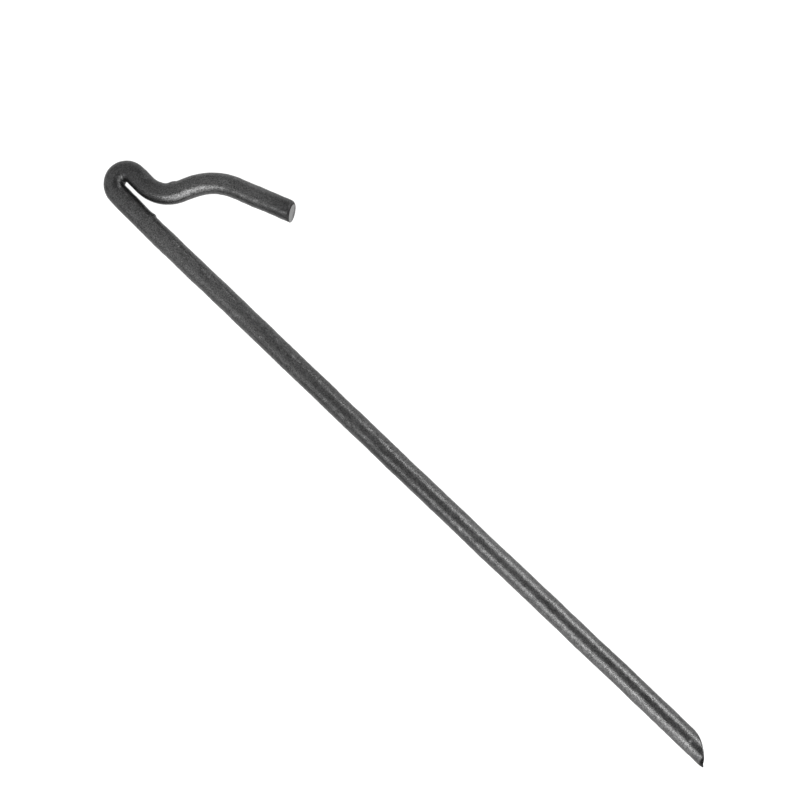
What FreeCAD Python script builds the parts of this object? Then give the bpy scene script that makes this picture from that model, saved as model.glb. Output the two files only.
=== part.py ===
import FreeCAD, Part
import math
import os

# A tent stake made of one round steel bar: sheared to a slanting point at one end, folded back on itself at
# the other in a tight hairpin, and bent up from there into a hook arm. It lies flat, as it would on a table.
# Millimetres. +X runs along the shaft from the head to the point, +Y is the side that the hook arm is on,
# and +Z is up. The origin is on the table, under the middle of the stake's box.

BAR_DIAMETER = 10.0
BAR_RADIUS = BAR_DIAMETER / 2

# The bar's centreline, walked from the tip of the point to the end of the hook arm.
SHAFT_LENGTH = 351.5        # the straight shaft, from the tip
LEAN_RADIUS = 300.0         # a slight bend where the shaft was clamped for folding
LEAN_TURN = 2.4
NECK_LENGTH = 20.0          # the straight run between that bend and the hairpin
HAIRPIN_RADIUS = 6.0        # leaves a slit of about 2 mm between the shaft and the leg folded back on it
HAIRPIN_TURN = 179.0
LEG_LENGTH = 6.4            # the folded leg, along the shaft
LIFT_RADIUS = 17.4          # where the leg turns away from the shaft
LIFT_TURN = 67.2
RISE_LENGTH = 1.7
SHOULDER_RADIUS = 32.5      # where it turns back to run beside the shaft as the hook arm
SHOULDER_TURN = 46.2
ARM_LENGTH = 30.0

# The point: one slanting shear cut, rolled about the shaft so that its face looks sideways and down.
POINT_ANGLE = 33.0          # between the cut and the shaft's axis
POINT_ROLL = 52.0           # how far the cut's face is turned down from looking straight at +Y
TIP_FLAT = 0.3              # length lost from the sharp tip, which is left blunt

# The hook arm's end: a shear cut a little off square, with a rolled edge.
END_SLANT = 10.0
ROLLED_EDGE = 2.0           # radius of the edge where the blade came in, on the outer side of the arm
SHARP_EDGE = 0.3            # radius where it broke through, on the side towards the shaft

SPARE = 20.0                # how far the bar first runs on past each cut
CUTTER_SIZE = 60.0
DENSITY = 7850e-9           # kg per cubic millimetre, mild steel


def heading_vector(heading):
    """The unit vector at this many degrees from +X towards +Y."""
    angle = math.radians(heading)
    return FreeCAD.Vector(math.cos(angle), math.sin(angle), 0)


def straight(start, heading, length):
    """One straight edge of the centreline, and the place where it ends."""
    end = start + heading_vector(heading) * length
    return Part.LineSegment(start, end).toShape(), end


def bend(start, heading, radius, turn):
    """One arc of the centreline, with its end and its heading there. A positive turn is to the left."""
    side = math.copysign(90.0, turn)
    centre = start + heading_vector(heading + side) * radius
    middle = centre - heading_vector(heading + side + turn / 2) * radius
    end = centre - heading_vector(heading + side + turn) * radius
    return Part.Arc(start, middle, end).toShape(), end, heading + turn


def centreline():
    """The bar's whole centreline from past the point to past the arm, and the arm's end and heading."""
    stretches = (
        (SHAFT_LENGTH + SPARE, LEAN_RADIUS, -LEAN_TURN),
        (NECK_LENGTH, HAIRPIN_RADIUS, -HAIRPIN_TURN),
        (LEG_LENGTH, LIFT_RADIUS, LIFT_TURN),
        (RISE_LENGTH, SHOULDER_RADIUS, -SHOULDER_TURN),
    )
    place = FreeCAD.Vector(SPARE, 0, 0)
    heading = 180.0
    edges = []
    for length, radius, turn in stretches:
        run, place = straight(place, heading, length)
        arc, place, heading = bend(place, heading, radius, turn)
        edges += [run, arc]
    arm_end = place + heading_vector(heading) * ARM_LENGTH
    run, _ = straight(place, heading, ARM_LENGTH + SPARE)
    edges.append(run)
    return Part.Wire(edges), arm_end, heading


def round_bar(path):
    """The plain bar along the centreline, with both of its ends square."""
    first = path.OrderedVertexes[0].Point
    side = FreeCAD.Vector(0, BAR_RADIUS, 0)
    top = FreeCAD.Vector(0, 0, BAR_RADIUS)
    over = Part.Arc(first - side, first + top, first + side).toShape()
    under = Part.Arc(first - side, first - top, first + side).toShape()
    return path.makePipeShell([Part.Wire([over, under])], True, False)


def cutter(place, normal):
    """A block that fills the space on the far side of a plane through place."""
    corner = FreeCAD.Vector(-CUTTER_SIZE / 2, -CUTTER_SIZE / 2, 0)
    block = Part.makeBox(CUTTER_SIZE, CUTTER_SIZE, CUTTER_SIZE, corner)
    turn = FreeCAD.Rotation(FreeCAD.Vector(0, 0, 1), normal)
    block.Placement = FreeCAD.Placement(place, turn).multiply(block.Placement)
    return block


def sheared_point(bar):
    """Cuts the shaft's end at a slant, then takes off the sharp tip. The tip of the cut is at x = 0."""
    roll = math.radians(POINT_ROLL)
    slope = math.radians(POINT_ANGLE)
    face_side = FreeCAD.Vector(0, math.cos(roll), -math.sin(roll))
    normal = FreeCAD.Vector(math.sin(slope), 0, 0) + face_side * math.cos(slope)
    tip = face_side * -BAR_RADIUS
    bar = bar.cut(cutter(tip + FreeCAD.Vector(TIP_FLAT, 0, 0), normal))
    return bar.cut(cutter(FreeCAD.Vector(0, 0, 0), FreeCAD.Vector(1, 0, 0)))


def sheared_end(bar, arm_end, heading):
    """Cuts the hook arm a little off square and rounds the rim of the cut.

    The rim is two half circles that meet on the arm's inner and outer sides. Its rounding grows from the inner
    side to the outer, and the fillet follows the rim on from the half that it is given to the other.
    """
    normal = heading_vector(heading + END_SLANT)
    outward = heading_vector(heading + 90)
    bar = bar.cut(cutter(arm_end, normal))
    for edge in bar.Edges:
        on_cut = all(abs((edge.valueAt(t) - arm_end).dot(normal)) < 1e-6 for t in edge.ParameterRange)
        starts_inside = (edge.valueAt(edge.FirstParameter) - arm_end).dot(outward) < 0
        if on_cut and starts_inside:
            return bar.makeFillet(SHARP_EDGE, ROLLED_EDGE, [edge])
    raise ValueError("the cut has no rim to round")


def stake():
    """The whole stake in its own frame."""
    path, arm_end, heading = centreline()
    bar = sheared_end(sheared_point(round_bar(path)), arm_end, heading)
    box = bar.optimalBoundingBox(False)
    bar.translate(FreeCAD.Vector(-box.Center.x, -box.Center.y, -box.ZMin))
    return bar


os.makedirs("parts", exist_ok=True)
body = stake()
body.exportStep("parts/stake.step")

size = body.optimalBoundingBox(False)
print("valid", body.isValid(), "solids", len(body.Solids), "faces", len(body.Faces))
print("box", round(size.XLength, 2), round(size.YLength, 2), round(size.ZLength, 2))
print("low corner", round(size.XMin, 2), round(size.YMin, 2), round(size.ZMin, 2))
print("volume", round(body.Volume, 1), "mass kg", round(body.Volume * DENSITY, 4))
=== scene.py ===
"""The looks of a tent stake: one bent round bar with dark rolling scale, sheared at both ends, in a studio.

Metres. The frame is the CAD model's: +X runs along the shaft to the point, +Y is the hook arm's side, and
+Z is up. A place on the bar is given by its distance along the centreline from the point, and by its angle
round the bar: 0 on the inner side of the fold, a quarter turn on top, half a turn on the outer side.
"""
import math

import bpy
import numpy as np
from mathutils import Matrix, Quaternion, Vector


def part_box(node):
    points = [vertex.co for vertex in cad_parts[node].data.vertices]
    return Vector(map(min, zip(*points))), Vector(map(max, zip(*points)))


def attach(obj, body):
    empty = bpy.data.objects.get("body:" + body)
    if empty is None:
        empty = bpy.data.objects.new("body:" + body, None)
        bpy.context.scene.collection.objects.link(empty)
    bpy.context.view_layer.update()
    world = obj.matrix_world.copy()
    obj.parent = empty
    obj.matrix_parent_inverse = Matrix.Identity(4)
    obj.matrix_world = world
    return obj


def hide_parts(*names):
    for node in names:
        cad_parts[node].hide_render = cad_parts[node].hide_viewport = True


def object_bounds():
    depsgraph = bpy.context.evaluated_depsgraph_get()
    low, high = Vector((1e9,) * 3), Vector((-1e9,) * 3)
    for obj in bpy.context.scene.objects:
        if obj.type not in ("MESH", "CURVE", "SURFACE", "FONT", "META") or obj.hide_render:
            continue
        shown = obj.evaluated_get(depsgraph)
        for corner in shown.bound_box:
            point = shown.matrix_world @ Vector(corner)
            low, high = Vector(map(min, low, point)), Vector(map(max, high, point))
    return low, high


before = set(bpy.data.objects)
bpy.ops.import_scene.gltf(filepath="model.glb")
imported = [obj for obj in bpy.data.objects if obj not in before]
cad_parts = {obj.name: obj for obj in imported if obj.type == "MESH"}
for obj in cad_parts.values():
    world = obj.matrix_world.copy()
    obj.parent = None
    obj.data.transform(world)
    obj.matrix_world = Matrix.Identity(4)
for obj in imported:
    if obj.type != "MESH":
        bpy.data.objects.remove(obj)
cad_low, cad_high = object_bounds()

BAR_RADIUS = 0.005

# The centreline from the point to the end of the hook arm: runs and bends in turn. A left turn is positive.
SHAFT_LENGTH = 0.3515
LEAN_RADIUS, LEAN_TURN = 0.300, math.radians(-2.4)
NECK_LENGTH = 0.020
HAIRPIN_RADIUS, HAIRPIN_TURN = 0.006, math.radians(-179.0)
LEG_LENGTH = 0.0064
LIFT_RADIUS, LIFT_TURN = 0.0174, math.radians(67.2)
RISE_LENGTH = 0.0017
SHOULDER_RADIUS, SHOULDER_TURN = 0.0325, math.radians(-46.2)
ARM_LENGTH = 0.030

# The point's slanting cut, and the hook arm's cut a little off square.
POINT_ANGLE = math.radians(33.0)
POINT_ROLL = math.radians(-52.0)    # the way that the cut faces, as an angle round the bar
POINT_RIM = 0.0002                  # how far back from each rim its rounding starts: the least and the most
POINT_RIM_ROLLED = 0.0013
END_SLANT = math.radians(10.0)
END_RIM = 0.0003
END_RIM_ROLLED = 0.0020

# The mesh.
AROUND = 96
RING_STEP = 0.00055
POINT_ZONE = 0.040                  # lengths over which the rings tilt from square to the cuts' slants
END_ZONE = 0.012
RIM_RINGS = 6
FACE_RINGS = 14

# Where the bar strays from the straight, by rolling and by hand.
BOW_HEIGHT, BOW_PERIOD, BOW_PEAK = 0.00015, 0.34, 0.012
SHAFT_STRAY = 0.00004
HOOK_STRAY = 0.0002

# Its surface, as heights off the nominal bar.
PROUD = 0.00010
OVAL, OVAL_TWIST = 0.00006, 9.0     # the twist is in radians to the metre
SWELL_HEIGHT, DENT_HEIGHT = 0.000035, 0.000017
WRINKLE_HEIGHT, WRINKLE_STEP = 0.00022, 0.0021
BURR_HEIGHT = 0.0006
TIP_BURR = 0.0014
LIP_HEIGHT, LIP_BASE = 0.0028, 0.0008
DIP_DEPTH, DIP_REACH = 0.00045, 0.0045
TORN_HEIGHT, TORN_BUMPS = 0.00002, 9

# Single marks. Each is (amount, distance past a start, degrees round the bar, length, width). The amounts of
# swellings and bulges are heights, those of wrinkles and creases are shares of WRINKLE_HEIGHT, and the rest
# are shares of a full mark of wear and painted highlight, of darkening and painted shade, and of black
# shade.
FOLD_MIDDLE = 0.0092
FOLD_SWELLINGS = (
    (0.00032, -0.0035, 180, 0.0065, 0.0050),
    (0.00025, FOLD_MIDDLE, 180, 0.0030, 0.0040),
    (0.00022, 0.0220, 180, 0.0045, 0.0050),
)
FOLD_WRINKLED = (
    (0.10, FOLD_MIDDLE, 80, 0.0036, 0.0016),
    (1.0, FOLD_MIDDLE + 0.001, -60, 0.0036, 0.0020),
)
FOLD_CREASES = (
    (0.5, 0.0083, 47, 0.0022, 0.0010),
    (0.4, 0.0142, 66, 0.0010, 0.0020),
    (-1.0, 0.0124, 80, 0.0011, 0.0018),
)
# Painted highlights: light patches on the fold's crease ridges, kept with the wear.
FOLD_HIGHLIGHTS = (
    (0.75, 0.0080, 50, 0.0017, 0.0008),
    (0.12, 0.0115, 62, 0.0006, 0.0004),
    (0.05, 0.0142, 68, 0.0009, 0.0016),
)
# Painted shade: dark patches in the fold's grooves and beside its slit.
FOLD_SHADE = (
    (0.35, 0.0152, 100, 0.0050, 0.0035),
    (1.0, 0.0030, 50, 0.0020, 0.0013),
    (1.0, 0.0153, 66, 0.0018, 0.0014),
    (0.6, 0.0190, 35, 0.0060, 0.0022),
)
LIFT_BULGES = (
    (0.00075, 0.0166, 180, 0.0032, 0.0042),
    (0.0004, 0.0266, 0, 0.0060, 0.0050),
)
ARM_SMEAR = ((0.3, -0.001, 20, 0.0030, 0.0015),)
# A painted highlight and painted shade by a nick near the point: a light spot and a black dot beside it.
NICK_HIGHLIGHT = ((1.6, 0.0003, 78, 0.0006, 0.0006),)
NICK_SHADE = ((0.8, -0.0006, 78, 0.0006, 0.0005),)
NICK_START = 0.0101
MOST_WORN_OR_LIT, MOST_BLACK = 1.6, 0.9
CLAMP_EDGE = 0.0108                 # where the clamp's burr is, past the start of the lean

# The steel's greys and colours.
SCALE_DARK, SCALE_LIGHT = 0.028, 0.150
# The grey of darker steel and of painted shade.
DARKENED_AND_SHADE_COLOUR = (0.020, 0.020, 0.021, 1)
PIT_COLOUR = (0.030, 0.029, 0.028, 1)
# The first grey is for worn steel and painted highlights; the second is painted black shade.
RUBBED_AND_HIGHLIGHT_GREY, SHADE_BLACK_GREY = 0.26, 0.008
# The last grey is for the lower part of each cut face.
SHEARED_DARK, SHEARED_LIGHT, DRAGGED_GREY, LOWER_FACE_GREY = 0.12, 0.26, 0.20, 0.05
STEEL_METALLIC, STEEL_TINT = 0.9, 0.75
PAPER_ROUGHNESS = 0.9

CAMERA_AZIMUTH, CAMERA_ELEVATION = math.radians(130.64), math.radians(75.51)
CAMERA_ROLL = math.radians(-88.11)
CAMERA_DISTANCE = 1.3918
CAMERA_AIM = Vector((-0.01783, -0.00336, 0.0))    # from the middle of the CAD box
CAMERA_LENS, CAMERA_SENSOR = 135.0, 36.0          # millimetres

ROOM_LIGHT, ROOM_SLOPE, ROOM_LOW = 1.06, 0.04, 0.72
FLOOR_HALF, FLOOR_GLOW = 4.0, 1.0
BOX_LENGTH, BOX_REACH = 1.15, 1.2                 # the reach is from the shaft's middle
DARK_CARD, DIM_CARD, GREY_CARD = 0.13, 0.28, 0.5  # how brightly each paper glows
WHITE = (1, 1, 1, 1)

TURN = 2 * math.pi
SEED = 20


# ---------------------------------------------------------------- the centreline

def lay_out_line():
    """The stretches of the centreline, each as (first distance, x, y, heading, turn per metre)."""
    low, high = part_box("stake")
    x, y, heading, distance = high.x, low.y + BAR_RADIUS, math.pi, 0.0
    stretches = []
    for length, turn in (
        (SHAFT_LENGTH, 0.0),
        (LEAN_RADIUS * abs(LEAN_TURN), LEAN_TURN),
        (NECK_LENGTH, 0.0),
        (HAIRPIN_RADIUS * abs(HAIRPIN_TURN), HAIRPIN_TURN),
        (LEG_LENGTH, 0.0),
        (LIFT_RADIUS * abs(LIFT_TURN), LIFT_TURN),
        (RISE_LENGTH, 0.0),
        (SHOULDER_RADIUS * abs(SHOULDER_TURN), SHOULDER_TURN),
        (ARM_LENGTH, 0.0),
    ):
        bend = turn / length
        stretches.append((distance, x, y, heading, bend))
        x, y, heading = (float(v) for v in follow(x, y, heading, bend, length))
        distance += length
    return stretches, distance


def follow(x, y, heading, bend, along):
    """The place and heading reached by going along from (x, y) on a run, or on an arc of this bend."""
    if bend == 0:
        return x + np.cos(heading) * along, y + np.sin(heading) * along, heading + 0 * along
    end = heading + bend * along
    return x + (np.sin(end) - np.sin(heading)) / bend, y - (np.cos(end) - np.cos(heading)) / bend, end


def centreline(distance):
    """Centre points of the bar at these distances from the point, and the directions to its inner side."""
    x, y, heading = (np.zeros_like(distance) for _ in range(3))
    for first, *start, bend in LINE:
        reached = distance >= first if first else np.full(distance.shape, True)
        x[reached], y[reached], heading[reached] = follow(*start, bend, distance[reached] - first)
    inner = np.stack((np.sin(heading), -np.cos(heading), np.zeros_like(x)), axis=-1)
    centre = np.stack((x, y, np.full_like(x, BAR_MIDDLE)), axis=-1)
    return centre + bow(distance)[..., None] * inner, inner


def bow(distance):
    """How far the bar strays to its inner side: the shaft's slow bow, and the hook bent a hair too far."""
    shaft = BOW_HEIGHT * np.cos(TURN * (distance - BOW_PEAK) / BOW_PERIOD)
    shaft += SHAFT_STRAY * waves(distance, 0.0, along=0.045, across=0.03, count=8, seed=3)
    hook = HOOK_STRAY * ease(distance, LIFT_START, LIFT_START + 0.015)
    return shaft * (1 - ease(distance, SHAFT_LENGTH - 0.01, SHAFT_LENGTH + 0.02)) + hook


def ease(value, start, end):
    """0 up to start, 1 from end on, and smooth between them."""
    t = np.clip((value - start) / (end - start), 0, 1)
    return t * t * (3 - 2 * t)


def hump(distance, middle, reach, power=2):
    """A soft hump along the bar, 1 at its middle. A higher power gives it a flatter top."""
    return np.exp(-((distance - middle) / reach) ** power)


# ---------------------------------------------------------------- the bar's surface

def near(distance, angle, place, length, width):
    """A soft patch on the bar, 1 at place = (distance, angle) and fading over a length and a width."""
    across = np.remainder(angle - place[1] + math.pi, TURN) - math.pi
    return np.exp(-(((distance - place[0]) / length) ** 2) - (across * BAR_RADIUS / width) ** 2)


def stripe(angle, degrees, width):
    """A soft stripe along the whole bar, 1 at this many degrees round it."""
    return near(0, angle, (0, math.radians(degrees)), 1, width)


def patches(distance, angle, start, marks):
    """Soft patches added up: one for each of these marks, at its distance past start."""
    return sum(amount * near(distance, angle, (start + along, math.radians(degrees)), length, width)
               for amount, along, degrees, length, width in marks)


def waves(distance, angle, along, across, count, seed):
    """Smooth random hollows and swells, about 1 high, of about these wavelengths along and across."""
    draw = np.random.default_rng(SEED + seed)
    total = np.zeros_like(distance)
    for _ in range(count):
        pitch = TURN / (along * draw.uniform(0.6, 1.8)) * draw.choice((-1, 1))
        lobes = draw.integers(0, max(2, round(TURN * BAR_RADIUS / across)) + 1)
        total += np.sin(pitch * distance + lobes * angle + draw.uniform(0, TURN))
    return total * math.sqrt(2 / count)


def rolled_surface(distance, angle):
    """Straightening and rolling marks: a slight, slowly twisting oval, long swells and small dents."""
    oval = OVAL * np.cos(2 * (angle - OVAL_TWIST * distance))
    swell = SWELL_HEIGHT * waves(distance, angle, along=0.014, across=0.008, count=40, seed=1)
    dents = DENT_HEIGHT * waves(distance, angle, along=0.0042, across=0.0035, count=90, seed=2)
    return PROUD + oval + swell + dents


def hairpin_shape(distance, angle):
    """The fold: swollen where it enters and leaves the bend, with creases where the inside was squeezed."""
    swollen = patches(distance, angle, HAIRPIN_START, FOLD_SWELLINGS)
    along = distance - (HAIRPIN_START + FOLD_MIDDLE)
    wrinkles = np.cos(TURN * along / WRINKLE_STEP + 1.5 * np.sin(3 * angle))
    wrinkles = wrinkles * patches(distance, angle, HAIRPIN_START, FOLD_WRINKLED)
    return swollen + WRINKLE_HEIGHT * (wrinkles + patches(distance, angle, HAIRPIN_START, FOLD_CREASES))


def bench_marks(distance, angle):
    """The steel pushed up inside the lift bend, and the burr that the clamp's edge left on the shaft."""
    rise = ease(distance, BURR_START - 0.0003, BURR_START + 0.0010)
    fall = 1 - ease(distance, BURR_START, BURR_START + 0.005)
    burr = BURR_HEIGHT * (rise * fall) * near(distance, angle, (BURR_START, 0.0), 1.0, 0.0019)
    return patches(distance, angle, LIFT_START, LIFT_BULGES) + burr


def point_dip(distance, angle):
    """Where the blade came down on the point: the top sinks a little towards the cut."""
    depth = np.maximum(point_cut(angle, BAR_RADIUS) + DIP_REACH - distance, 0) / DIP_REACH
    return -DIP_DEPTH * depth ** 2 * stripe(angle, 75, 0.005)


def surface_radius(distance, angle):
    """The bar's radius at these places."""
    return (BAR_RADIUS + rolled_surface(distance, angle) + hairpin_shape(distance, angle)
            + bench_marks(distance, angle) + point_dip(distance, angle))


def bar_points(distance, angle, radius):
    """Points at these distances, angles and radii."""
    centre, inner = centreline(distance)
    points = centre + (radius * np.cos(angle))[..., None] * inner
    points[..., 2] = np.maximum(points[..., 2] + radius * np.sin(angle), cad_low.z)
    return points


# ---------------------------------------------------------------- the ends

def point_cut(angle, radius):
    """How far from the tip the slanting cut meets the bar at this angle and radius."""
    depth = (BAR_RADIUS + radius * np.cos(angle - POINT_ROLL)) / math.tan(POINT_ANGLE)
    burr = TIP_BURR * stripe(angle, 146, 0.0015)
    lip = LIP_HEIGHT * stripe(angle, 66, 0.0037) + LIP_BASE * stripe(angle, 80, 0.0090)
    return depth - (burr + lip) * (radius / BAR_RADIUS) ** 6


def end_cut(angle, radius):
    """How far along the arm's cut is at this angle and radius."""
    return LINE_LENGTH + math.tan(END_SLANT) * radius * np.cos(angle)


def point_rim(angle):
    """How far back the rounding starts on the point's rim: most where the blade came in, on its top."""
    return POINT_RIM + (POINT_RIM_ROLLED - POINT_RIM) * stripe(angle, 65, 0.0032)


def end_rim(angle):
    """How far back the rounding starts on the arm's rim: most on its outer side."""
    return END_RIM + (END_RIM_ROLLED - END_RIM) * (1 - np.cos(angle)) / 2


def sheared(angle, cut, rim, inward):
    """Rings over a sheared end, from the middle of its face to where the bar begins, as lists of
    (distances, radii). inward is the sign of the way from the cut into the bar."""
    full = surface_radius(cut(angle, BAR_RADIUS), angle)
    back = rim(angle)
    face_edge = full - np.minimum(back, 0.6 * full)
    torn = np.random.default_rng(SEED + 7)
    bumps = [(torn.integers(1, 6), torn.uniform(0, TURN), torn.uniform(0.3, 1)) for _ in range(TORN_BUMPS)]
    rings = []
    for ring in range(1, FACE_RINGS + 1):
        share = ring / FACE_RINGS
        radius = face_edge * share
        rough = sum(height * np.sin(lobes * angle + turn + 7 * share) for lobes, turn, height in bumps)
        rough = rough * TORN_HEIGHT * math.sin(math.pi * share)
        rings.append((cut(angle, radius) + inward * rough, radius))
    for ring in range(1, RIM_RINGS + 1):
        t = ring / RIM_RINGS
        radius = (1 - t) ** 2 * face_edge + (1 - (1 - t) ** 2) * full
        on_face = cut(angle, (1 - t) * face_edge + t * full)
        rings.append((on_face + inward * back * t * t, radius))
    return rings


def bar_rings(angle):
    """The distances and the radii of every ring, from the middle of the point's face to the arm's."""
    first = sheared(angle, point_cut, point_rim, 1)
    last = sheared(angle, end_cut, end_rim, -1)[::-1]
    start, end = first[-1][0], last[0][0]
    rings = list(first)
    steps = round(LINE_LENGTH / RING_STEP)
    for step in range(1, steps):
        square = LINE_LENGTH * step / steps
        distance = (square + start * max(0, 1 - square / POINT_ZONE)
                    + (end - LINE_LENGTH) * max(0, 1 - (LINE_LENGTH - square) / END_ZONE))
        rings.append((distance, surface_radius(distance, angle)))
    rings += last
    return np.array([r[0] for r in rings]), np.array([r[1] for r in rings])


def skin_faces(rows):
    """The faces of a closed skin of this many rings, and whether each one is on a cut."""
    row, column = (a.ravel() for a in np.meshgrid(np.arange(rows - 1), np.arange(AROUND), indexing="ij"))
    after = (column + 1) % AROUND
    quads = np.stack((row * AROUND + column, (row + 1) * AROUND + column,
                      (row + 1) * AROUND + after, row * AROUND + after), axis=-1)
    last = (rows - 1) * AROUND
    point_middle, arm_middle = rows * AROUND, rows * AROUND + 1
    fans = [(point_middle, c, (c + 1) % AROUND) for c in range(AROUND)]
    fans += [(last + c, arm_middle, last + (c + 1) % AROUND) for c in range(AROUND)]
    on_cut = (row < FACE_RINGS) | (row >= rows - 1 - FACE_RINGS)
    return quads.tolist() + fans, np.concatenate((on_cut, np.ones(len(fans), bool)))


def stake_mesh():
    """The whole bar as one closed skin, with its place on the bar, its wear and painted highlights, and its
    darker steel and painted shade kept at each vertex.
    """
    around = np.arange(AROUND) / AROUND * TURN
    distance, radius = bar_rings(around)
    angle = np.broadcast_to(around, distance.shape)
    middles, zeros = np.array([point_cut(0.0, 0.0), LINE_LENGTH]), np.zeros(2)
    points = np.concatenate((bar_points(distance, angle, radius).reshape(-1, 3),
                             bar_points(middles, zeros, zeros)))
    faces, on_cut = skin_faces(len(distance))
    mesh = bpy.data.meshes.new("stake_bar")
    mesh.from_pydata(points.tolist(), [], faces)
    mesh.polygons.foreach_set("material_index", on_cut.astype(np.int32))
    mesh.polygons.foreach_set("use_smooth", np.ones(len(faces), bool))

    place = np.concatenate((
        np.stack((distance, radius * np.cos(angle), radius * np.sin(angle)), axis=-1).reshape(-1, 3),
        np.stack((middles, zeros, zeros), axis=-1)))
    keep_at_vertices(mesh, "bar_place", "FLOAT_VECTOR", "vector", place)
    for name, amount in (("wear_and_highlights", wear_and_highlights), ("painted_black_shade", painted_black_shade), ("darkened_and_shaded", darkened_and_shaded)):
        values = np.concatenate((amount(distance, angle).ravel(), zeros))
        keep_at_vertices(mesh, name, "FLOAT", "value", values)
    mesh.validate()
    return mesh


def keep_at_vertices(mesh, name, kind, field, values):
    """Keeps one value for each vertex under this name, for the materials to read."""
    attribute = mesh.attributes.new(name, kind, "POINT")
    attribute.data.foreach_set(field, values.astype(np.float32).ravel())


def wear_and_highlights(distance, angle):
    """How far the scale is rubbed off: on the burr, the cuts' rims and where the shaft is handled; with
    painted highlights drawn as light patches on the fold's creases and as a light spot by the nick near the
    point."""
    burr = 0.12 * near(distance, angle, (BURR_START + 0.0008, 0.1), 0.0016, 0.0016)
    from_cut = distance - point_cut(angle, BAR_RADIUS)
    tip = 0.15 * (1 - ease(from_cut, 0.0034, 0.0060)) * stripe(angle, 128, 0.0028)
    handled = 0.16 * hump(distance, 0.126, 0.042)
    # The fold's patches and the nick's light spot are painted highlights; the arm's smear is wear.
    marks = (patches(distance, angle, HAIRPIN_START, FOLD_HIGHLIGHTS)
             + patches(distance, angle, LINE_LENGTH, ARM_SMEAR)
             + patches(distance, angle, NICK_START, NICK_HIGHLIGHT))
    return np.clip(burr + marks + tip + handled, 0, MOST_WORN_OR_LIT)


def darkened_and_shaded(distance, angle):
    """How much darker the steel is drawn: round the fold and the lift, towards the arm's end and on one
    stretch of the shaft; with painted shade beside the point's rim, in the fold's grooves, and in stripes
    along the shaft's sides."""
    head = ease(distance, HAIRPIN_START - 0.027, HAIRPIN_START + 0.010)
    head = head * (1 - 0.75 * ease(distance, LIFT_START + 0.008, LIFT_START + 0.024))
    arm_end = 0.85 * ease(distance, LINE_LENGTH - 0.022, LINE_LENGTH - 0.002)
    from_cut = distance - point_cut(angle, BAR_RADIUS)
    # Painted shade: dims the reflection band on this side near the point, where the top drops towards the
    # cut.
    point = 1.1 * (1 - ease(from_cut, 0.0040, 0.0085)) * stripe(angle, 122, 0.0040)
    shaft = 0.42 * hump(distance, 0.236, 0.034)
    # Painted shade: stripes that dim the reflection bands along the shaft's sides.
    outer_side = 0.85 * hump(distance, 0.170, 0.048, 4) * stripe(angle, 122, 0.0017)
    inner_side = 0.85 * hump(distance, 0.284, 0.024) * stripe(angle, 47, 0.0021)
    # Painted shade in the fold's grooves and beside its slit.
    marks = patches(distance, angle, HAIRPIN_START, FOLD_SHADE)
    return head + arm_end + point + shaft + outer_side + inner_side + marks


def painted_black_shade(distance, angle):
    """Painted black shade: in a pit beside the nick, and on the rims that the blades rolled over, which turn
    away into shade.
    """
    # Painted shade: a black dot in the nick's pit.
    pit = patches(distance, angle, NICK_START, NICK_SHADE)
    from_cut = distance - point_cut(angle, BAR_RADIUS)
    # Painted shade on the point's rolled rim.
    point_rim_shade = 1.5 * (1 - ease(from_cut, 0.0020, 0.0034)) * stripe(angle, 92, 0.0046)
    off_inner_side = 1 - 0.8 * stripe(angle, 0, 0.004)
    # Painted shade on the arm's end rim, except on its inner side.
    arm_rim_shade = 0.6 * ease(distance, LINE_LENGTH - 0.0014, LINE_LENGTH - 0.0005) * off_inner_side
    return np.clip(pit + point_rim_shade + arm_rim_shade, 0, MOST_BLACK)


# ---------------------------------------------------------------- materials

def node(tree, kind, inputs=None, **settings):
    """A new node, with its settings and its inputs: a socket to link from, or a plain value."""
    made = tree.nodes.new(kind)
    for name, value in settings.items():
        setattr(made, name, value)
    for name, value in (inputs or {}).items():
        socket = made.inputs[name]
        if isinstance(value, bpy.types.NodeSocket):
            tree.links.new(value, socket)
        else:
            socket.default_value = value
    return made


def new_material(name):
    """An empty material, with its output and one Principled shader joined to it."""
    material = bpy.data.materials.new(name)
    material.use_nodes = True
    tree = material.node_tree
    tree.nodes.clear()
    shader = tree.nodes.new("ShaderNodeBsdfPrincipled")
    output = tree.nodes.new("ShaderNodeOutputMaterial")
    tree.links.new(shader.outputs["BSDF"], output.inputs["Surface"])
    return material, tree, shader


def noise_of(tree, place, scale, detail=4.0, rough=0.55):
    """A noise value from 0 to 1, with this many cells to the metre."""
    made = node(tree, "ShaderNodeTexNoise",
                {"Vector": place, "Scale": scale, "Detail": detail, "Roughness": rough})
    return made.outputs["Fac"]


def stretched(tree, place, scales):
    """The place on the bar scaled one way more than another, so that a noise is drawn out."""
    return node(tree, "ShaderNodeVectorMath", {0: place, 1: scales}, operation="MULTIPLY").outputs["Vector"]


def ranged(tree, value, low, high, to_low, to_high, way="LINEAR"):
    """value moved from low..high to to_low..to_high, evenly or by another way."""
    made = node(tree, "ShaderNodeMapRange", {
        "Value": value, "From Min": low, "From Max": high, "To Min": to_low, "To Max": to_high},
        interpolation_type=way)
    return made.outputs["Result"]


def grey(level):
    """An even grey."""
    return level, level, level, 1


def blended(tree, share, first, second):
    """A colour from first to second. The mix node's colours are its inputs 6 and 7 and its output 2."""
    made = node(tree, "ShaderNodeMix", data_type="RGBA")
    for socket, value in ((made.inputs["Factor"], share), (made.inputs[6], first), (made.inputs[7], second)):
        if isinstance(value, bpy.types.NodeSocket):
            tree.links.new(value, socket)
        else:
            socket.default_value = value
    return made.outputs[2]


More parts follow.
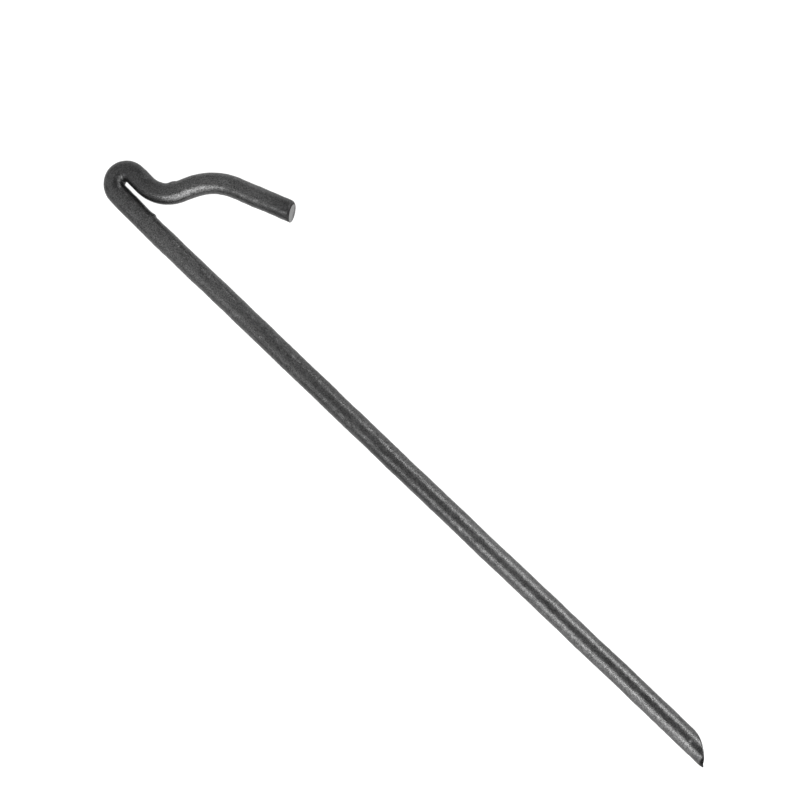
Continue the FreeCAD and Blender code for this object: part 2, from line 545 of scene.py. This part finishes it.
def bumped(tree, height, strength, depth, normal=None):
    """A bump of this depth in metres, on top of another one if it is given."""
    inputs = {"Height": height, "Strength": strength, "Distance": depth}
    if normal is not None:
        inputs["Normal"] = normal
    return node(tree, "ShaderNodeBump", inputs).outputs["Normal"]


def kept(tree, name, output="Fac"):
    """A value kept at the mesh's vertices."""
    return node(tree, "ShaderNodeAttribute", attribute_name=name).outputs[output]


def product(tree, first, second):
    """Two values multiplied."""
    return node(tree, "ShaderNodeMath", {0: first, 1: second}, operation="MULTIPLY").outputs[0]


def total(tree, first, second):
    """Two values added."""
    return node(tree, "ShaderNodeMath", {0: first, 1: second}, operation="ADD").outputs[0]


def pocks(tree, place):
    """1 in a few small pits, 0 elsewhere."""
    cells = node(tree, "ShaderNodeTexVoronoi", {"Vector": place, "Scale": 300.0})
    pit = ranged(tree, cells.outputs["Distance"], 0.06, 0.16, 1, 0)
    chosen = node(tree, "ShaderNodeSeparateColor", {0: cells.outputs["Color"]}).outputs[0]
    return product(tree, pit, ranged(tree, chosen, 0.72, 0.78, 0, 1))


def scale_steel():
    """Hot-rolled steel under its dark grey scale: mottled, finely grained, lighter where worn, darker in
    places, and with painted highlights and painted shade in its colour.
    """
    material, tree, shader = new_material("black_steel")
    place = kept(tree, "bar_place", "Vector")
    worn_or_lit, black_shade, darkened = (kept(tree, name) for name in ("wear_and_highlights", "painted_black_shade", "darkened_and_shaded"))
    grain = noise_of(tree, place, 1800, 1.0, 0.5)
    mottle = noise_of(tree, stretched(tree, place, (0.6, 1.0, 1.0)), 420, 3.0, 0.6)
    pits = pocks(tree, place)

    colour = mottled_grey(tree, place, grain, mottle)
    # Darker steel and painted shade.
    colour = blended(tree, product(tree, darkened, 0.46), colour, DARKENED_AND_SHADE_COLOUR)
    colour = blended(tree, product(tree, pits, 0.6), colour, PIT_COLOUR)
    # Worn steel and painted highlights, drawn lighter.
    rubbed_or_lit = product(tree, ranged(tree, grain, 0.30, 0.70, 0.25, 1), worn_or_lit)
    colour = blended(tree, rubbed_or_lit, colour, grey(RUBBED_AND_HIGHLIGHT_GREY))
    # Painted black shade on the cuts' rims and in the nick's pit.
    colour = blended(tree, black_shade, colour, grey(SHADE_BLACK_GREY))
    tree.links.new(colour, shader.inputs["Base Color"])
    shader.inputs["Metallic"].default_value = STEEL_METALLIC
    shader.inputs["Specular Tint"].default_value = grey(STEEL_TINT)

    rough = ranged(tree, mottle, 0.3, 0.7, 0.28, 0.38)
    rough = total(tree, rough, ranged(tree, grain, 0.3, 0.7, 0.05, -0.05))
    rough = total(tree, rough, total(tree, product(tree, worn_or_lit, 0.2), product(tree, black_shade, 0.6)))
    tree.links.new(rough, shader.inputs["Roughness"])
    tree.links.new(scale_bumps(tree, place, grain, mottle, pits, darkened), shader.inputs["Normal"])
    return material


def mottled_grey(tree, place, grain, mottle):
    """The scale's own grey, before any wear: lighter and darker in grains, mottle and slow clouds."""
    cloud = noise_of(tree, stretched(tree, place, (0.35, 1.0, 1.0)), 110, 2.0)
    tone = ranged(tree, grain, 0.36, 0.64, 0.035, 0.685)
    tone = total(tree, tone, ranged(tree, mottle, 0.34, 0.66, 0, 0.13))
    tone = total(tree, tone, ranged(tree, cloud, 0.38, 0.62, 0, 0.10))
    return blended(tree, tone, grey(SCALE_DARK), grey(SCALE_LIGHT))


def scale_bumps(tree, place, grain, mottle, pits, darkened):
    """The scale's fine relief: drawn lines, mottle, pits, and a grain that is flatter where the steel is
    drawn darker, in tone and in painted shade.
    """
    lines = noise_of(tree, stretched(tree, place, (0.04, 1.0, 1.0)), 1500, 2.0)
    normal = bumped(tree, lines, 0.25, 0.00004)
    normal = bumped(tree, mottle, 0.5, 0.00008, normal)
    normal = bumped(tree, grain, ranged(tree, darkened, 0, 0.25, 1.0, 0.45), 0.00007, normal)
    return bumped(tree, product(tree, pits, -1.0), 0.8, 0.00012, normal)


def sheared_steel():
    """The bare faces that the shear left: pale grey, dragged one way by the blade, torn in places, and
    darker towards the bottom of each face.
    """
    material, tree, shader = new_material("black_steel_sheared")
    place = kept(tree, "bar_place", "Vector")
    dragged = stretched(tree, place, (0.2, 0.15, 1.0))
    lines = noise_of(tree, dragged, 3200, 3.0, 0.6)
    torn = noise_of(tree, place, 900, 5.0, 0.65)
    colour = blended(tree, ranged(tree, torn, 0.3, 0.7, 0, 1), grey(SHEARED_DARK), grey(SHEARED_LIGHT))
    colour = blended(tree, ranged(tree, lines, 0.35, 0.65, 0, 0.4), colour, grey(DRAGGED_GREY))
    height = node(tree, "ShaderNodeSeparateXYZ", {0: place}).outputs["Z"]
    height = total(tree, height, ranged(tree, torn, 0.3, 0.7, -0.0006, 0.0006))
    # Darker towards the bottom of each face.
    lower_part = ranged(tree, height, -0.0024, -0.0010, 1, 0)
    colour = blended(tree, product(tree, lower_part, 0.8), colour, grey(LOWER_FACE_GREY))
    tree.links.new(colour, shader.inputs["Base Color"])
    shader.inputs["Metallic"].default_value = STEEL_METALLIC
    tree.links.new(ranged(tree, torn, 0.3, 0.7, 0.38, 0.55), shader.inputs["Roughness"])
    normal = bumped(tree, torn, 0.6, 0.00012)
    normal = bumped(tree, lines, 0.4, 0.00004, normal)
    tree.links.new(normal, shader.inputs["Normal"])
    return material


def floor_paper():
    """Matt paper that glows evenly, as on a light table, with a very faint tooth."""
    material, tree, shader = new_material("studio_paper")
    place = node(tree, "ShaderNodeTexCoord").outputs["Object"]
    tooth = noise_of(tree, place, 600, 2.0)
    tree.links.new(blended(tree, tooth, grey(0.12), grey(0.14)), shader.inputs["Base Color"])
    shader.inputs["Roughness"].default_value = PAPER_ROUGHNESS
    shader.inputs["Emission Color"].default_value = WHITE
    shader.inputs["Emission Strength"].default_value = FLOOR_GLOW
    return material


# ---------------------------------------------------------------- the object and the studio

def add_object(name, data):
    """A new object holding this data, in the scene."""
    made = bpy.data.objects.new(name, data)
    bpy.context.scene.collection.objects.link(made)
    return made


def make_stake():
    """The stake, in place of its CAD node."""
    mesh = stake_mesh()
    mesh.materials.append(scale_steel())
    mesh.materials.append(sheared_steel())
    stake = add_object("stake_bar", mesh)
    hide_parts("stake")
    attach(stake, "root")


def make_floor():
    """A sheet of glowing paper under the stake, far wider than it."""
    mesh = bpy.data.meshes.new("floor")
    corners = [(x * FLOOR_HALF, y * FLOOR_HALF, 0) for x, y in ((-1, -1), (1, -1), (1, 1), (-1, 1))]
    mesh.from_pydata(corners, [], [(0, 1, 2, 3)])
    mesh.materials.append(floor_paper())
    add_object("floor", mesh)


def glow(name, strength, width, soft_end, sheer):
    """A soft box's cloth: brightest along its middle, fading to its sides and over soft_end metres at -X.
    A sheer one lets the light behind it through."""
    material = bpy.data.materials.new(name)
    material.use_nodes = True
    tree = material.node_tree
    tree.nodes.clear()
    place = node(tree, "ShaderNodeSeparateXYZ", {0: node(tree, "ShaderNodeTexCoord").outputs["Object"]})
    along = ranged(tree, place.outputs["X"], 0.0, soft_end, 0.0, strength, "SMOOTHSTEP")
    off_middle = node(tree, "ShaderNodeMath", {0: place.outputs["Y"]}, operation="ABSOLUTE").outputs[0]
    across = ranged(tree, off_middle, 0.0, width / 2, 1.0, 0.0, "SMOOTHSTEP")
    cloth = node(tree, "ShaderNodeEmission", {"Strength": product(tree, along, across)}).outputs[0]
    if sheer:
        clear = node(tree, "ShaderNodeBsdfTransparent").outputs[0]
        cloth = node(tree, "ShaderNodeAddShader", {0: cloth, 1: clear}).outputs[0]
    node(tree, "ShaderNodeOutputMaterial", {"Surface": cloth})
    return material


def card(name, length, width, material):
    """A flat card that starts at its own origin and runs along X, unseen by the camera."""
    half = width / 2
    mesh = bpy.data.meshes.new(name)
    corners = [(0, -half, 0), (length, -half, 0), (length, half, 0), (0, half, 0)]
    mesh.from_pydata(corners, [], [(0, 1, 2, 3)])
    mesh.materials.append(material)
    made = add_object(name, mesh)
    made.visible_camera = False
    return made


def hang(made, lean, reach, first_x):
    """Hangs a card over the shaft, facing it, from first_x on. lean is its angle from straight up towards
    +Y, as the shaft sees it, in degrees."""
    lean = math.radians(lean)
    made.location = (first_x, cad_low.y + BAR_RADIUS + reach * math.sin(lean),
                     BAR_RADIUS + reach * math.cos(lean))
    made.rotation_euler = (-lean, 0, 0)


def soft_box(name, lean, strength, width, first_x, soft_end, reach=BOX_REACH, sheer=False):
    """A long soft box beside the shaft."""
    hang(card(name, BOX_LENGTH, width, glow(name, strength, width, soft_end, sheer)), lean, reach, first_x)


def make_lights():
    """A bright even room, and four long soft boxes: one on each side of the shaft, one further on past the
    point, and a sheer one low and near."""
    world = bpy.data.worlds.new("studio_room")
    bpy.context.scene.world = world
    world.use_nodes = True
    tree = world.node_tree
    looking = node(tree, "ShaderNodeTexCoord").outputs["Generated"]
    direction = node(tree, "ShaderNodeSeparateXYZ", {0: looking})
    strength = ranged(tree, direction.outputs["Y"], -1, 1, ROOM_LIGHT + ROOM_SLOPE, ROOM_LIGHT - ROOM_SLOPE)
    strength = product(tree, strength, ranged(tree, direction.outputs["Z"], 0, 1, ROOM_LOW, 1))
    tree.nodes["Background"].inputs["Color"].default_value = WHITE
    tree.links.new(strength, tree.nodes["Background"].inputs["Strength"])
    soft_box("soft_box_left", -37.5, 8.1, 1.14, first_x=-0.155, soft_end=0.10)
    soft_box("soft_box_right", 67.5, 7.6, 1.02, first_x=-0.255, soft_end=0.08)
    soft_box("soft_box_low", -76, 1.8, 0.54, first_x=0.03, soft_end=0.10, reach=0.45, sheer=True)
    soft_box("soft_box_far", -54, 5.6, 0.72, first_x=0.11, soft_end=0.25)


def card_paper(name, glow_strength):
    """Matt dark paper that glows this brightly."""
    material, _, shader = new_material(name)
    shader.inputs["Base Color"].default_value = grey(0.02)
    shader.inputs["Roughness"].default_value = PAPER_ROUGHNESS
    shader.inputs["Emission Color"].default_value = WHITE
    shader.inputs["Emission Strength"].default_value = glow_strength
    return material


def only_in_gloss(made):
    """Lets a card show in the steel's gloss, and neither shade the floor nor darken it."""
    made.visible_diffuse = False
    made.visible_shadow = False


def make_cards():
    """Cards that only the steel's gloss shows: over the lower part of the shaft between the soft boxes, on
    the floor past the point and upright beyond it, low on the outer side, and beside the two main boxes."""
    dark = card_paper("dark_card", DARK_CARD)
    dim = card_paper("dim_card", DIM_CARD)
    pale = card_paper("grey_card", GREY_CARD)
    flat, facing_back, on_edge = (0, 0, 0), (0, -math.pi / 2, 0), (math.pi / 2, 0, 0)
    for name, length, width, paper, place, turn in (
        ("dark_card_over", 1.15, 1.40, dark, (-0.34, 0.39, 1.20), flat),
        ("dark_card_beyond", 0.35, 0.50, dark, (0.204, 0.0, 0.0004), flat),
        ("dark_card_at_end", 0.30, 0.60, dark, (0.50, 0.0, 0.0), facing_back),
        ("grey_card_behind", 0.50, 0.40, pale, (-0.48, -1.15, 0.24), on_edge),
        ("dim_card_low", 0.24, 0.30, dim, (-0.22, -1.14, 0.19), on_edge),
    ):
        made = card(name, length, width, paper)
        made.location = place
        made.rotation_euler = turn
        only_in_gloss(made)
    for name, length, width, paper, lean, first_x in (
        ("grey_card_left", 0.165, 1.10, pale, -37.5, -0.32),
        ("dim_card_right", 0.58, 0.95, dim, 64, -0.84),
    ):
        made = card(name, length, width, paper)
        hang(made, lean, BOX_REACH, first_x)
        only_in_gloss(made)


def make_camera():
    """A long lens high over the stake, looking steeply down at it."""
    camera = bpy.data.cameras.new("camera")
    camera.lens = CAMERA_LENS
    camera.sensor_width = CAMERA_SENSOR
    made = add_object("camera", camera)
    flat = math.cos(CAMERA_ELEVATION)
    back = Vector((math.sin(CAMERA_AZIMUTH) * flat, -math.cos(CAMERA_AZIMUTH) * flat,
                   math.sin(CAMERA_ELEVATION)))
    made.location = (cad_low + cad_high) / 2 + CAMERA_AIM + back * CAMERA_DISTANCE
    made.rotation_mode = "QUATERNION"
    made.rotation_quaternion = (-back).to_track_quat("-Z", "Y") @ Quaternion((0, 0, 1), CAMERA_ROLL)
    bpy.context.scene.camera = made


BAR_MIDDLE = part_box("stake")[0].z + BAR_RADIUS
LINE, LINE_LENGTH = lay_out_line()
LEAN_START, HAIRPIN_START, LIFT_START = LINE[1][0], LINE[3][0], LINE[5][0]
BURR_START = LEAN_START + CLAMP_EDGE

make_stake()
make_floor()
make_lights()
make_cards()
make_camera()
bpy.context.scene.view_settings.view_transform = "Standard"
